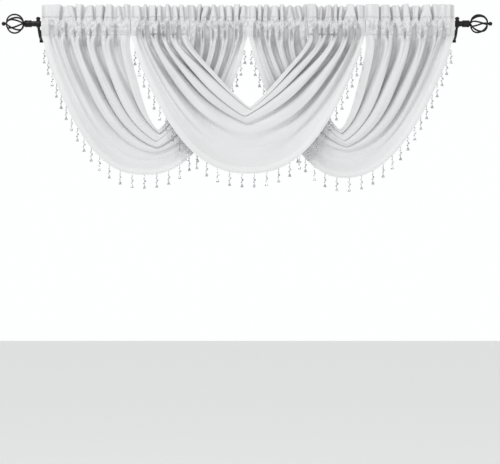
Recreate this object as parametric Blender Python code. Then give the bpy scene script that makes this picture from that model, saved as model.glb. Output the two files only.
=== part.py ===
"""Three beaded swag valances gathered side by side on one curtain rod with cage finials.

Metres, +Z up. The viewer stands at -Y and the wall is the plane y = 0. The origin lies on the wall
behind the middle of the rod, at the height of the rod's axis.
"""

import math

import bmesh
import bpy
import numpy as np

# Rod, finials and brackets
ROD_DIAMETER = 0.018
ROD_LENGTH = 1.450
ROD_WALL = 0.0012
ROD_TO_WALL = 0.080
ROUND_STEPS = 16
FIT_GAP = 0.0005
SOCKET_DIAMETER = 0.0225
SOCKET_LENGTH = 0.026
SOCKET_OVERLAP = 0.014
CAGE_RADIUS = 0.0335
CAGE_LENGTH = 0.057
CAGE_WIRES = 6
CAGE_WIRE = 0.0048
CAGE_TWIST = math.radians(50)
CAGE_TURN = {"left": math.radians(30), "right": 0.0}
CAGE_STEPS = 8
CAGE_ROOT = 0.0034
WIRE_SINK = 0.002
KNOB_RADIUS = 0.0066
KNOB_STEPS = 10
BRACKET_X = {"left": -0.6885, "right": 0.6935}
PLATE_WIDTH = 0.014
PLATE_THICKNESS = 0.0035
PLATE_TOP = -0.010
PLATE_BOTTOM = -0.052
ARM_WIDTH = 0.009
ARM_THICKNESS = 0.004
RING_WIDTH = 0.009
RING_WALL = 0.0032
SCREW_RADIUS = 0.0075
SCREW_HEIGHT = 0.012

# Gathered heading: heights are measured from the rod's axis
CLOTH = 0.0015
HEADING_TOP = 0.0605
UPPER_SEAM = 0.0190
LOWER_SEAM = -0.0415
SEAM_DEPTH = 0.003
POCKET_HIGH = 0.008
POCKET_LOW = -0.012
POCKET_SLACK = 0.0003
RUFFLES = 8
HEADING_RUFFLE = 0.0085
POCKET_RUFFLE = 0.0040
SEAM_RUFFLE = 0.0040
CREST_RISE = 0.0026
FLAT_EDGE = 0.05
FLAT_HEM = 0.14

# How the cloth hangs below the heading
GATHER_FADE = 0.034
FOLD_GROWTH = 0.055
ARM_BULGE = 1.1
ARM_LEAN = 0.25
BELLY_LEAN = 0.75
VALLEY_PINCH = 0.45

# Bead fringe
TAPE_WIDTH = 0.0045
STRAND_PITCH = 0.040
STRAND_LENGTH = 0.047
STRAND_THREAD = 0.0028
STRAND_BEAD = 0.0085
FRINGE_START = 0.045
TAPE_GAP = 0.0008

# Mesh of each swag: columns run from its inner edge to its hem, rows from its left seam to its right seam
COLUMNS = 24
ROWS = 26

FOLD_COLUMNS = ("share", "left_x", "right_x", "low_x", "low_z", "point", "power", "arm_depth", "belly_depth")

# One row for the inner edge, one for each valley between two folds, and one for the hem. share counts the
# cloth's width from the inner edge, and left_x, right_x and low_x, low_z are where the line starts, ends and
# is lowest. point is how much of its rise is straight, as in a V, and power how late the rest sets in.
LEFT_FOLDS = (
    (0.00, -0.3834, -0.1874, -0.293, -0.347, 0.25, 2.2, 0.005, 0.003),
    (0.145, -0.432, -0.161, -0.287, -0.363, 0.37, 3.0, 0.012, 0.0055),
    (0.32, -0.489, -0.132, -0.300, -0.385, 0.35, 2.6, 0.013, 0.0065),
    (0.515, -0.539, -0.092, -0.297, -0.406, 0.22, 2.4, 0.013, 0.0065),
    (0.715, -0.594, -0.052, -0.313, -0.432, 0.06, 2.3, 0.012, 0.005),
    (0.888, -0.643, -0.019, -0.330, -0.464, 0.0, 2.35, 0.008, 0.002),
    (1.00, -0.6772, 0.0028, -0.336, -0.494, 0.0, 2.4, 0.004, 0.001),
)
CENTRE_FOLDS = (
    (0.00, -0.1886, 0.1986, 0.009, -0.275, 0.70, 2.0, 0.004, 0.003),
    (0.165, -0.224, 0.227, 0.013, -0.284, 0.70, 2.0, 0.010, 0.004),
    (0.37, -0.260, 0.268, -0.009, -0.305, 0.60, 2.3, 0.012, 0.006),
    (0.55, -0.289, 0.307, 0.003, -0.335, 0.36, 2.1, 0.012, 0.0065),
    (0.75, -0.328, 0.344, 0.004, -0.388, 0.10, 2.1, 0.012, 0.003),
    (0.89, -0.356, 0.369, 0.005, -0.440, 0.0, 2.25, 0.008, 0.001),
    (1.00, -0.3822, 0.3888, 0.0055, -0.4905, 0.0, 2.4, 0.004, 0.001),
)
RIGHT_FOLDS = (
    (0.00, 0.1974, 0.3900, 0.307, -0.346, 0.25, 2.1, 0.005, 0.003),
    (0.15, 0.165, 0.436, 0.314, -0.363, 0.36, 2.8, 0.012, 0.0055),
    (0.34, 0.129, 0.489, 0.323, -0.383, 0.35, 2.6, 0.013, 0.0065),
    (0.56, 0.086, 0.551, 0.329, -0.402, 0.24, 2.4, 0.013, 0.0065),
    (0.75, 0.050, 0.604, 0.332, -0.426, 0.06, 2.3, 0.012, 0.005),
    (0.89, 0.026, 0.650, 0.326, -0.462, 0.0, 2.2, 0.008, 0.002),
    (1.00, 0.0040, 0.6840, 0.322, -0.504, 0.0, 2.15, 0.004, 0.001),
)

# forward_left and forward_right say how far in front of the rod's axis the two arms hang, flare how much
# further the belly comes forward, and phase where the gathers start.
SWAGS = {
    "left": {"folds": LEFT_FOLDS, "forward_left": 0.006, "forward_right": -0.012, "flare": 0.016, "phase": 0.10},
    "centre": {"folds": CENTRE_FOLDS, "forward_left": 0.028, "forward_right": 0.028, "flare": 0.014, "phase": 0.55},
    "right": {"folds": RIGHT_FOLDS, "forward_left": -0.012, "forward_right": 0.006, "flare": 0.016, "phase": 0.35},
}

CLOTH_COLOUR = (0.86, 0.86, 0.87)
METAL_COLOUR = (0.018, 0.016, 0.015)
BEAD_COLOUR = (0.80, 0.82, 0.84)


def clear_scene():
    for obj in list(bpy.data.objects):
        bpy.data.objects.remove(obj)


def make_material(name, colour, roughness, metallic):
    material = bpy.data.materials.new(name)
    material.use_nodes = True
    shader = material.node_tree.nodes["Principled BSDF"]
    shader.inputs["Base Color"].default_value = (*colour, 1.0)
    shader.inputs["Roughness"].default_value = roughness
    shader.inputs["Metallic"].default_value = metallic
    return material


class Shell:
    """Collects the points and faces of one closed body."""

    def __init__(self):
        self.points = []
        self.faces = []

    def add_row(self, row):
        first = len(self.points)
        self.points.extend(row)
        return list(range(first, len(self.points)))

    def add_strip(self, a, b):
        for k in range(len(a) - 1):
            self.add_cell(a[k], a[k + 1], b[k + 1], b[k])

    def add_cell(self, *corners):
        corners = tuple(dict.fromkeys(corners))
        if len(corners) > 2:
            self.faces.append(corners)

    def add_fan(self, left, right, edge):
        """Triangles from two points to a row of points that faces them."""
        half = len(edge) // 2
        for k in range(half):
            self.add_cell(left, edge[k], edge[k + 1])
        self.add_cell(left, edge[half], right)
        for k in range(half, len(edge) - 1):
            self.add_cell(right, edge[k], edge[k + 1])

    def finish(self, name, material=None, smooth_angle=60):
        """The body as an object, its faces turned outwards."""
        mesh = bpy.data.meshes.new(name)
        mesh.from_pydata([tuple(point) for point in self.points], [], self.faces)
        body = bmesh.new()
        body.from_mesh(mesh)
        bmesh.ops.recalc_face_normals(body, faces=body.faces)
        body.to_mesh(mesh)
        body.free()
        mesh.shade_smooth()
        mesh.set_sharp_from_angle(angle=math.radians(smooth_angle))
        obj = bpy.data.objects.new(name, mesh)
        bpy.context.scene.collection.objects.link(obj)
        if material is not None:
            mesh.materials.append(material)
        return obj


# The curve that each fold follows


def ease(t):
    t = np.clip(t, 0, 1)
    return t * t * (3 - 2 * t)


def smooth_through(knots, values, at):
    """A cubic through a table's rows that never swings past them."""
    step = np.diff(knots)
    slope = np.diff(values) / step
    before, after = slope[:-1], slope[1:]
    total = np.where(before + after == 0, 1, before + after)
    inner = np.where(before * after > 0, 2 * before * after / total, 0)
    tangent = np.concatenate([slope[:1], inner, slope[-1:]])
    cell = np.clip(np.searchsorted(knots, at, side="right") - 1, 0, len(step) - 1)
    t = (at - knots[cell]) / step[cell]
    width = step[cell]
    return (
        (2 * t**3 - 3 * t**2 + 1) * values[cell]
        + (t**3 - 2 * t**2 + t) * width * tangent[cell]
        + (3 * t**2 - 2 * t**3) * values[cell + 1]
        + (t**3 - t**2) * width * tangent[cell + 1]
    )


def fold_lines(swag, share):
    """Each table column, and the fold that each share lies on, at the given shares of the cloth's width."""
    table = np.array(swag["folds"])
    knots = table[:, 0]
    lines = {name: smooth_through(knots, table[:, k], share) for k, name in enumerate(FOLD_COLUMNS)}
    valleys = len(table) - 2
    fold = np.concatenate([[0.0], np.arange(valleys) + 0.5, [float(valleys)]])
    lines["fold"] = smooth_through(knots, fold, share)
    return lines


def hang_curve(line, share, along):
    """Points from the left seam to the lowest point at 0.5 and on to the right seam, evenly along each arm."""
    w = np.linspace(0, 1, 161)
    height = line["point"] * w + (1 - line["point"]) * w ** line["power"]
    bulge = 1 + ARM_BULGE * (1 - share) * height**4 * (1 - height)
    z = line["low_z"] + (LOWER_SEAM - line["low_z"]) * height
    points = np.empty((len(along), 2))
    for seam_x, arm in ((line["left_x"], along <= 0.5), (line["right_x"], along > 0.5)):
        x = line["low_x"] + (seam_x - line["low_x"]) * w * bulge
        length = np.concatenate([[0.0], np.cumsum(np.hypot(np.diff(x), np.diff(z)))])
        place = np.abs(2 * along[arm] - 1) * length[-1]
        points[arm] = np.stack([np.interp(place, length, x), np.interp(place, length, z)], axis=1)
    return points


def ruffle(share, phase, side):
    """Wave of the gathers along the rod, fading out at the ends of each heading."""
    wander = 0.10 * np.sin(2 * math.pi * (2.3 * share + phase)) + 0.5 * side
    swell = 0.80 + 0.20 * np.sin(2 * math.pi * (3.1 * share + 2 * phase + side))
    ends = ease(share / FLAT_EDGE) * ease((1 - share) / FLAT_HEM)
    return np.cos(2 * math.pi * (RUFFLES * share + wander + phase)) * swell * ends


# The swag's surface


def hanging_surface(swag, share, along):
    """Middle surface of the swag as an array of rows along the folds and columns across them."""
    lines = fold_lines(swag, share)
    base = np.empty((len(along), len(share), 3))
    for k in range(len(share)):
        line = {name: values[k] for name, values in lines.items()}
        base[:, k, [0, 2]] = hang_curve(line, share[k], along)
    side = (2 * along - 1)[:, None]
    belly = np.cos(side * math.pi / 2) ** 2
    drop = LOWER_SEAM - base[:, :, 2]
    settle = 1 - np.exp(-drop / (0.018 + 0.022 * share))
    left, right = swag["forward_left"], swag["forward_right"]
    forward = (left + right) / 2 + (right - left) / 2 * np.sin(side * math.pi / 2)
    recess = np.interp(share, [0.0, 0.45, 0.82, 1.0], [0.5, 0.6, -0.2, 1.0])
    base[:, :, 1] = -ROD_TO_WALL - settle * forward - belly * swag["flare"] * recess
    waves = np.where(side < 0, ruffle(share, swag["phase"], 0), ruffle(share, swag["phase"], 1))
    gather = SEAM_RUFFLE * np.exp(-drop / GATHER_FADE) * waves
    depth = ease(drop / FOLD_GROWTH) * ((1 - belly) * lines["arm_depth"] + belly * lines["belly_depth"])
    turn = 2 * math.pi * lines["fold"]
    lean = (1 - belly) * ARM_LEAN + belly * BELLY_LEAN
    out = depth * np.cos(turn) + gather
    across = depth * (lean * np.cos(turn) + VALLEY_PINCH * np.sin(turn))
    down, outward = surface_frame(base)
    return base + out[:, :, None] * outward + across[:, :, None] * down


def surface_frame(points):
    """At each point of a surface, the way across the folds towards the hem, and the way out to the front."""
    along = np.gradient(points, axis=0)
    across = np.gradient(points, axis=1)
    out = np.cross(along, across)
    out /= np.linalg.norm(out, axis=2, keepdims=True)
    out *= -np.sign(out[:, :, 1:2])
    along /= np.linalg.norm(along, axis=2, keepdims=True)
    down = np.cross(out, along)
    down *= np.sign((down * across).sum(axis=2, keepdims=True))
    return down, out


def column_shares():
    return np.linspace(0, 1, COLUMNS + 1)


def row_shares():
    """Shares along the folds, closer together at both seams and at the lowest point."""
    s = np.linspace(0, 1, ROWS + 1)
    return s - 0.5 * np.sin(4 * math.pi * s) / (4 * math.pi)


def heading_rows(swag, x, share, side):
    """The heading over one arm, as rows of points in front, at the back, and round the inside of the rod pocket."""
    wave = ruffle(share, swag["phase"], side)
    front_reach = ROD_DIAMETER / 2 + POCKET_SLACK + POCKET_RUFFLE * (1 + wave)
    back_reach = ROD_DIAMETER / 2 + POCKET_SLACK + POCKET_RUFFLE * (1 - wave)
    top = HEADING_RUFFLE * wave
    seam = SEAM_RUFFLE * wave
    crest = HEADING_TOP + CREST_RISE * np.sin(2 * math.pi * (5.3 * share + 3 * swag["phase"]))

    def row(forward, height):
        return np.stack([x, -ROD_TO_WALL - forward, np.broadcast_to(height, x.shape)], axis=1)

    front = [row(top + CLOTH, crest), row(seam + CLOTH, UPPER_SEAM)]
    back = [row(top - CLOTH, crest), row(seam - CLOTH, UPPER_SEAM)]
    inside = [row(seam, UPPER_SEAM - SEAM_DEPTH)]
    for height in (POCKET_HIGH, POCKET_LOW):
        front.append(row(front_reach + CLOTH, height))
        back.append(row(-back_reach - CLOTH, height))
        inside.append(row(front_reach, height))
    inside.append(row(seam, LOWER_SEAM + SEAM_DEPTH))
    for height in (POCKET_LOW, POCKET_HIGH):
        inside.append(row(-back_reach, height))
    return front, back, inside


def make_swag(name, swag, material):
    share = column_shares()
    middle = hanging_surface(swag, share, row_shares())
    _, outward = surface_frame(middle)
    shell = Shell()
    fronts = [shell.add_row(row) for row in middle + outward * CLOTH / 2]
    backs = [shell.add_row(row) for row in middle - outward * CLOTH / 2]
    for rows in (fronts, backs):
        for upper, lower in zip(rows, rows[1:]):
            shell.add_strip(upper, lower)
    for edge in (0, -1):
        shell.add_strip([row[edge] for row in fronts], [row[edge] for row in backs])
    for side, row in ((0, 0), (1, -1)):
        rows = heading_rows(swag, middle[row, :, 0], share, side)
        add_heading(shell, rows, fronts[row], backs[row])
    return shell.finish(name, material)


def add_heading(shell, rows, seam_front, seam_back):
    """Joins a heading's rows into the two-ply ruffle and the rod pocket above the hanging cloth."""
    front, back, inside = ([shell.add_row(row) for row in group] for group in rows)
    front.append(seam_front)
    back.append(seam_back)
    for group in (front, back):
        for upper, lower in zip(group, group[1:]):
            shell.add_strip(upper, lower)
    shell.add_strip(front[0], back[0])
    for here, there in zip(inside, inside[1:] + inside[:1]):
        shell.add_strip(here, there)
    for end in (0, -1):
        f = [row[end] for row in front]
        b = [row[end] for row in back]
        i = [row[end] for row in inside]
        shell.add_cell(f[0], b[0], b[1], f[1])
        shell.add_cell(f[1], b[1], i[0])
        shell.add_cell(f[4], i[3], b[4])
        for k in range(3):
            shell.add_cell(f[k + 1], i[k], i[k + 1], f[k + 2])
            shell.add_cell(b[k + 1], i[-k], i[-k - 1], b[k + 2])


# Bead fringe


class Hem:
    """The hem as a line of points, each with the ways on past the edge and out to the front."""

    def __init__(self, swag):
        middle = hanging_surface(swag, column_shares(), row_shares())
        past, outward = surface_frame(middle)
        self.tables = (middle[:, -1], past[:, -1], outward[:, -1])
        steps = np.linalg.norm(np.diff(middle[:, -1], axis=0), axis=1)
        self.length = np.concatenate([[0.0], np.cumsum(steps)])

    def at(self, place, past, forward):
        place = np.atleast_1d(place)
        line, beyond, outward = (
            np.stack([np.interp(place, self.length, table[:, k]) for k in range(3)], axis=1)
            for table in self.tables
        )
        return line + past * beyond + forward * outward


def strand_places(stations):
    """Distances along the hem at which strands hang, each kept clear of the tape's corners."""
    span = stations[-1] - stations[0] - 2 * STRAND_THREAD
    count = int(span / STRAND_PITCH) + 1
    start = (stations[0] + stations[-1] - (count - 1) * STRAND_PITCH) / 2
    places = start + STRAND_PITCH * np.arange(count)
    cell = np.searchsorted(stations, places) - 1
    return np.clip(places, stations[cell] + STRAND_THREAD, stations[cell + 1] - STRAND_THREAD)


def make_fringe(name, swag, material):
    """A narrow tape along the hem with a bead strand hanging from it at every pitch."""
    hem = Hem(swag)
    first, last = FRINGE_START, hem.length[-1] - FRINGE_START
    inner = (hem.length > first + 3 * STRAND_THREAD) & (hem.length < last - 3 * STRAND_THREAD)
    stations = np.concatenate([[first], hem.length[inner], [last]])
    places = strand_places(stations)
    outer = TAPE_GAP + TAPE_WIDTH
    face = CLOTH / 2
    half = STRAND_THREAD / 2
    shell = Shell()
    inner_front, inner_back, outer_front, outer_back = (
        shell.add_row(hem.at(stations, past, forward))
        for past, forward in ((TAPE_GAP, face), (TAPE_GAP, -face), (outer, face), (outer, -face))
    )
    shell.add_strip(inner_front, inner_back)
    for end in (0, -1):
        shell.add_cell(inner_front[end], outer_front[end], outer_back[end], inner_back[end])
    for k in range(len(stations) - 1):
        front, back = [outer_front[k]], [outer_back[k]]
        for place in places[(places > stations[k]) & (places < stations[k + 1])]:
            left, right = shell.add_row(hem.at([place - half, place + half], outer, face))
            rear = shell.add_row(hem.at(place, outer, -face))[0]
            shell.add_cell(front[-1], left, rear, back[-1])
            front += [left, right]
            back.append(rear)
            add_strand(shell, (left, right, rear), hem.at(place, outer + STRAND_THREAD, 0)[0])
        shell.add_cell(front[-1], outer_front[k + 1], outer_back[k + 1], back[-1])
        front.append(outer_front[k + 1])
        back.append(outer_back[k + 1])
        shell.add_fan(inner_front[k], inner_front[k + 1], front)
        shell.add_fan(inner_back[k], inner_back[k + 1], back)
    return shell.finish(name, material)


def add_strand(shell, root, top):
    """A three-sided strand that hangs straight down from its root and widens to its end bead."""
    ring = root
    profile = (
        (0.08 * STRAND_LENGTH, STRAND_THREAD),
        (0.72 * STRAND_LENGTH, STRAND_THREAD),
        (STRAND_LENGTH, STRAND_BEAD),
    )
    for depth, width in profile:
        front = width / math.sqrt(12)
        corners = ((-width / 2, -front), (width / 2, -front), (0, 2 * front))
        after = shell.add_row([top + np.array((dx, dy, -depth)) for dx, dy in corners])
        for k in range(3):
            n = (k + 1) % 3
            shell.add_cell(ring[k], ring[n], after[n], after[k])
        ring = after
    shell.add_cell(*ring)


# Rod, finials and brackets


def turned(name, profile, steps, material=None):
    """A closed body turned about X from (x, radius) pairs, which close a loop or meet the axis."""
    shell = Shell()
    turns = [2 * math.pi * k / steps for k in range(steps)]
    rings = []
    for x, radius in profile:
        if radius == 0:
            rings.append(shell.add_row([(x, 0, 0)]) * steps)
        else:
            rings.append(shell.add_row([(x, radius * math.cos(a), radius * math.sin(a)) for a in turns]))
    for a, b in zip(rings, rings[1:] + rings[:1]):
        for k in range(steps):
            n = (k + 1) % steps
            shell.add_cell(a[k], a[n], b[n], b[k])
    return shell.finish(name, material, 40)


def bar_along(name, path, side, width, thickness, sides=4):
    """A closed bar along a path: four-sided to the given width and thickness, or round to its width."""
    path = np.array(path)
    way = np.gradient(path, axis=0)
    way /= np.linalg.norm(way, axis=1, keepdims=True)
    across = side - way * (way * side).sum(axis=1, keepdims=True)
    across /= np.linalg.norm(across, axis=1, keepdims=True)
    upward = np.cross(way, across)
    if sides == 4:
        corners = [(-0.5, 0.5), (0.5, 0.5), (0.5, -0.5), (-0.5, -0.5)]
    else:
        turns = [2 * math.pi * k / sides for k in range(sides)]
        corners = [(math.cos(a) / 2, math.sin(a) / 2) for a in turns]
    wide = np.broadcast_to(width, len(path))[:, None] * across
    thick = np.broadcast_to(thickness, len(path))[:, None] * upward
    shell = Shell()
    rows = [shell.add_row(path + a * wide + b * thick) for a, b in corners]
    for here, there in zip(rows, rows[1:] + rows[:1]):
        shell.add_strip(here, there)
    for end in (0, -1):
        shell.add_cell(*(row[end] for row in rows))
    return shell.finish(name)


def box(name, low, high, material=None):
    (x0, y0, z0), (x1, y1, z1) = low, high
    shell = Shell()
    shell.add_row([(x, y, z) for x in (x0, x1) for y in (y0, y1) for z in (z0, z1)])
    for corners in ((0, 1, 3, 2), (4, 6, 7, 5), (0, 4, 5, 1), (2, 3, 7, 6), (0, 2, 6, 4), (1, 5, 7, 3)):
        shell.add_cell(*corners)
    return shell.finish(name, material)


def join_all(body, others):
    """Unites the other bodies with this one, and removes them."""
    for other in others:
        union = body.modifiers.new("union", "BOOLEAN")
        union.operation = "UNION"
        union.object = other
        bpy.context.view_layer.update()
        evaluated = body.evaluated_get(bpy.context.evaluated_depsgraph_get())
        mesh = bpy.data.meshes.new_from_object(evaluated)
        body.modifiers.clear()
        body.data = mesh
        bpy.data.objects.remove(other)
    body.data.shade_smooth()
    body.data.set_sharp_from_angle(angle=math.radians(40))
    return body


def make_rod(material):
    half = ROD_LENGTH / 2
    outer = ROD_DIAMETER / 2
    inner = outer - ROD_WALL
    profile = [(-half, outer), (half, outer), (half, inner), (-half, inner)]
    rod = turned("curtain_rod", profile, ROUND_STEPS, material)
    rod.location = (0, -ROD_TO_WALL, 0)


def make_finial(side, way, material):
    """Socket over the rod's end with a wire cage and an end knob. way is -1 at the left and 1 at the right."""
    end = ROD_LENGTH / 2
    bore = ROD_DIAMETER / 2 + FIT_GAP
    start = end - SOCKET_OVERLAP
    tip = start + SOCKET_LENGTH
    outer = SOCKET_DIAMETER / 2
    neck = 0.5 * outer
    profile = [
        (start, bore),
        (start, outer),
        (tip - neck, outer),
        (tip, neck),
        (tip, 0.0),
        (end + FIT_GAP, 0.0),
        (end + FIT_GAP, bore),
    ]
    finial = turned(side + "_finial", [(way * x, radius) for x, radius in profile], ROUND_STEPS, material)
    turns = [CAGE_TURN[side] + 2 * math.pi * k / CAGE_WIRES for k in range(CAGE_WIRES)]
    wires = [cage_wire(way, tip, turn) for turn in turns]
    join_all(finial, [*wires, end_knob(way, tip + CAGE_LENGTH)])
    finial.location = (0, -ROD_TO_WALL, 0)


def cage_wire(way, start, turn):
    """One wire of the cage, twisted about the rod's axis, its thinner ends sunk in the socket and the end knob."""
    t = np.linspace(0, 1, CAGE_STEPS + 1)
    arch = np.sin(math.pi * t)
    angle = turn + CAGE_TWIST * (t - 0.5)
    radius = np.maximum((CAGE_RADIUS - CAGE_WIRE / 2) * arch**0.85, CAGE_ROOT)
    along = start - WIRE_SINK + (CAGE_LENGTH + 2 * WIRE_SINK) * (0.5 - 0.5 * np.cos(math.pi * t))
    path = np.stack([way * along, radius * np.cos(angle), radius * np.sin(angle)], axis=1)
    middle = np.array((0.0, math.cos(turn), math.sin(turn)))
    thickness = CAGE_WIRE * (0.6 + 0.4 * np.sqrt(arch))
    return bar_along("wire", path, middle, thickness, thickness, 5)


def end_knob(way, start):
    """A small ball with a short neck that gathers the ends of the wires."""
    centre = start + 0.8 * KNOB_RADIUS
    profile = [(start - WIRE_SINK / 2, 0.0), (start - WIRE_SINK / 2, 0.7 * KNOB_RADIUS)]
    for degrees in (130, 100, 70, 40):
        a = math.radians(degrees)
        profile.append((centre + KNOB_RADIUS * math.cos(a), KNOB_RADIUS * math.sin(a)))
    profile.append((centre + KNOB_RADIUS, 0.0))
    return turned("knob", [(way * x, radius) for x, radius in profile], KNOB_STEPS)


def make_bracket(side, material):
    """Wall plate, curved arm, and the ring that holds the rod."""
    x = BRACKET_X[side]
    bore = ROD_DIAMETER / 2 + FIT_GAP
    rim = bore + RING_WALL
    half = RING_WIDTH / 2
    plate = box(
        side + "_bracket",
        (x - PLATE_WIDTH / 2, -PLATE_THICKNESS, PLATE_BOTTOM),
        (x + PLATE_WIDTH / 2, 0.0, PLATE_TOP),
        material,
    )
    reach = ROD_TO_WALL - bore
    path = [(x, -reach * share, height) for share, height in (
        (0.02, -0.044), (0.25, -0.043), (0.55, -0.037), (0.80, -0.025), (1.03, -0.0105))]
    arm = bar_along("arm", path, np.array((1.0, 0.0, 0.0)), ARM_WIDTH, ARM_THICKNESS)
    ring = turned("ring", [(-half, bore), (-half, rim), (half, rim), (half, bore)], ROUND_STEPS)
    ring.location = (x, -ROD_TO_WALL, 0)
    join_all(plate, [arm, ring])


def make_thumb_screw(side, material):
    """Round thumb screw on top of the bracket's ring."""
    shape = ((0.0, 0.0), (0.0, 0.60), (0.25, 0.92), (0.50, 1.0), (0.78, 0.88), (0.95, 0.50), (1.0, 0.0))
    profile = [(share * SCREW_HEIGHT, radius * SCREW_RADIUS) for share, radius in shape]
    screw = turned(side + "_thumb_screw", profile, KNOB_STEPS, material)
    screw.rotation_euler = (0, -math.pi / 2, 0)
    top = ROD_DIAMETER / 2 + 2 * FIT_GAP + RING_WALL
    screw.location = (BRACKET_X[side], -ROD_TO_WALL, top)


def main():
    clear_scene()
    cloth = make_material("white_cloth", CLOTH_COLOUR, 0.6, 0.0)
    beads = make_material("clear_beads", BEAD_COLOUR, 0.15, 0.0)
    metal = make_material("black_metal", METAL_COLOUR, 0.4, 0.8)
    make_rod(metal)
    for side, way in (("left", -1), ("right", 1)):
        make_finial(side, way, metal)
        make_bracket(side, metal)
        make_thumb_screw(side, metal)
    for side, swag in SWAGS.items():
        make_swag(side + "_swag", swag, cloth)
        make_fringe(side + "_bead_fringe", swag, beads)


main()
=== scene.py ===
"""Looks of the three beaded swag valances on their rod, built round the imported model.

Metres, +Z up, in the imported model's own frame: the wall is the plane y = 0 and the rod's axis has z = 0.
"""

import math

import bpy
import numpy as np
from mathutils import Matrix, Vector, noise

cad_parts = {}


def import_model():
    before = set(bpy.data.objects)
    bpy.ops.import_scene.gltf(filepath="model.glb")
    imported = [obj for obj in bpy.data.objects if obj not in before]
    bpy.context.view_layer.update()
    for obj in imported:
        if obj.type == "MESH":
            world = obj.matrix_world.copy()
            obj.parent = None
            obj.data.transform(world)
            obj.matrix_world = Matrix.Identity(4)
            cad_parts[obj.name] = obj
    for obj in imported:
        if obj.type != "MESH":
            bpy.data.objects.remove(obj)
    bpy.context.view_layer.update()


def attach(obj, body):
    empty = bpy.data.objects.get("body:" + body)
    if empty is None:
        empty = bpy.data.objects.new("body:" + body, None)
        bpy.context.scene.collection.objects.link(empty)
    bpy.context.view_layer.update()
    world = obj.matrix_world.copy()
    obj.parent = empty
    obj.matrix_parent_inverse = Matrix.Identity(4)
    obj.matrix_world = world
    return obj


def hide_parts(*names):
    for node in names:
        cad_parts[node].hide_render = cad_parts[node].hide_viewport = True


# Rod, finials and brackets: the solids' sizes, but for thicker wires, wider rings, lower screws and larger
# knobs
ROD_DIAMETER = 0.018
ROD_LENGTH = 1.450
ROD_WALL = 0.0012
ROD_TO_WALL = 0.080
ROD_MIDDLE = (0.0, -ROD_TO_WALL, 0.0)
FIT_GAP = 0.0005
SOCKET_DIAMETER = 0.0225
SOCKET_LENGTH = 0.026
SOCKET_OVERLAP = 0.014
SOCKET_BEAD = 0.0008
SOCKET_NECK = 0.5
CAGE_RADIUS = 0.0335
CAGE_LENGTH = 0.057
CAGE_WIRES = 6
CAGE_WIRE = 0.0056
CAGE_TWIST = math.radians(50)
CAGE_TURN = {"left": math.radians(30), "right": 0.0}
CAGE_STEPS = 28
CAGE_ROOT = 0.0034
WIRE_SIDES = 10
WIRE_INSET = 0.0010
KNOB_RADIUS = 0.0068
KNOB_NECK = 0.0034
BRACKET_X = {"left": -0.6885, "right": 0.6935}
PLATE_WIDTH = 0.014
PLATE_THICKNESS = 0.0035
PLATE_TOP = -0.010
PLATE_BOTTOM = -0.052
ARM_WIDTH = 0.009
ARM_THICKNESS = 0.004
RING_WIDTH = 0.012
RING_WALL = 0.0032
SCREW_RADIUS = 0.0075
SCREW_HEIGHT = 0.0098
ROUND_STEPS = 40
BRACKET_ARM_STEPS = 22

# Half outlines as height and radius: the screw's in shares of its own, the drop's in metres
SCREW_SHAPE = ((0.0, 0.0), (0.0, 0.76), (0.06, 0.82), (0.18, 0.93), (0.30, 0.98), (0.42, 1.0), (0.56, 0.97),
               (0.70, 0.87), (0.82, 0.72), (0.92, 0.50), (0.98, 0.24), (1.0, 0.0))
DROP_SHAPE = ((0.0135, 0.0), (0.0122, 0.0011), (0.0080, 0.0030), (0.0036, 0.0052), (0.0018, 0.0056),
              (0.0004, 0.0040), (0.0, 0.0))

# The bracket's arm: its height under the rod's axis at shares of the way from the wall to the ring
BRACKET_ARM_SHARES = (0.0, 0.25, 0.55, 0.80, 1.03)
BRACKET_ARM_HEIGHTS = (-0.044, -0.043, -0.037, -0.025, -0.0105)

# Gathered heading: heights are measured from the rod's axis
HEADING_TOP = 0.0605
UPPER_SEAM = 0.0190
LOWER_SEAM = -0.0415
POCKET_REACH = 0.0018
ROD_CLEARANCE = ROD_DIAMETER / 2 + 0.0008
HEADING_RUFFLE = 0.0135
POCKET_RUFFLE = 0.0040
SEAM_RUFFLE = 0.0105
RIDGE_LIFT = 0.0025
SEAM_GROOVE = 0.0030
GROOVE_WIDTH = 0.0020
SEAM_STRAY = 0.0022
SEAM_HIDDEN = 0.85
SEAM_BLEND_ROWS = 5
PLY_GAP = 0.0016
CREST_WANDER = 0.0028
CREST_DIP = 0.0028
CREST_TILT = 0.0012
CREST_VALLEY = 0.0050
RUFFLE_SWAY = 0.25
RUFFLE_FLAT_EDGE = 0.03
RUFFLE_FLAT_HEM = 0.06
PUCKER = 0.0092
SHIRRING = 0.0030
SHIRRING_START = 0.004
SHIRRING_FADE = 0.010
HEADING_SLANT = 0.011

# Rows of the heading's ruffle and pocket, and all of them on both plies above the arm's first row
HEADING_ROWS = 10
POCKET_ROWS = 34
ROWS_ABOVE_ARM = 2 * (POCKET_ROWS + HEADING_ROWS + 1)

# Valleys between gathers: half the width of a valley's floor and the width of its sides, how much both
# differ, and how much of a side is steep or gentle
DEEP_VALLEY = (0.0025, 0.0060)
SHALLOW_VALLEY = (0.0004, 0.0045)
RUFFLE_VALLEY = (0.0022, 0.0028)
RUFFLE_OPENING = 0.0016
SHALLOW_LEVEL = 0.45
VALLEY_SPREAD = 0.4
STEEP_SHARE = 0.82
GENTLE_SHARE = 0.18
GENTLE_WIDTH = 2.2

# Creases that fan out from each gather: mean and spread of their length, slope and distance from it, and each
# one's lean and rise
CREASE_HEIGHT = 0.0078
CREASE_WIDTH = 0.0017
CREASE_LENGTH = (0.022, 0.011)
CREASE_SLOPE = (0.40, 0.22)
CREASE_START = (0.0022, 0.0012)
CREASE_FAN = ((-1, 1), (-0.4, -0.6), (0.5, -0.6), (1, 1))

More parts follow.
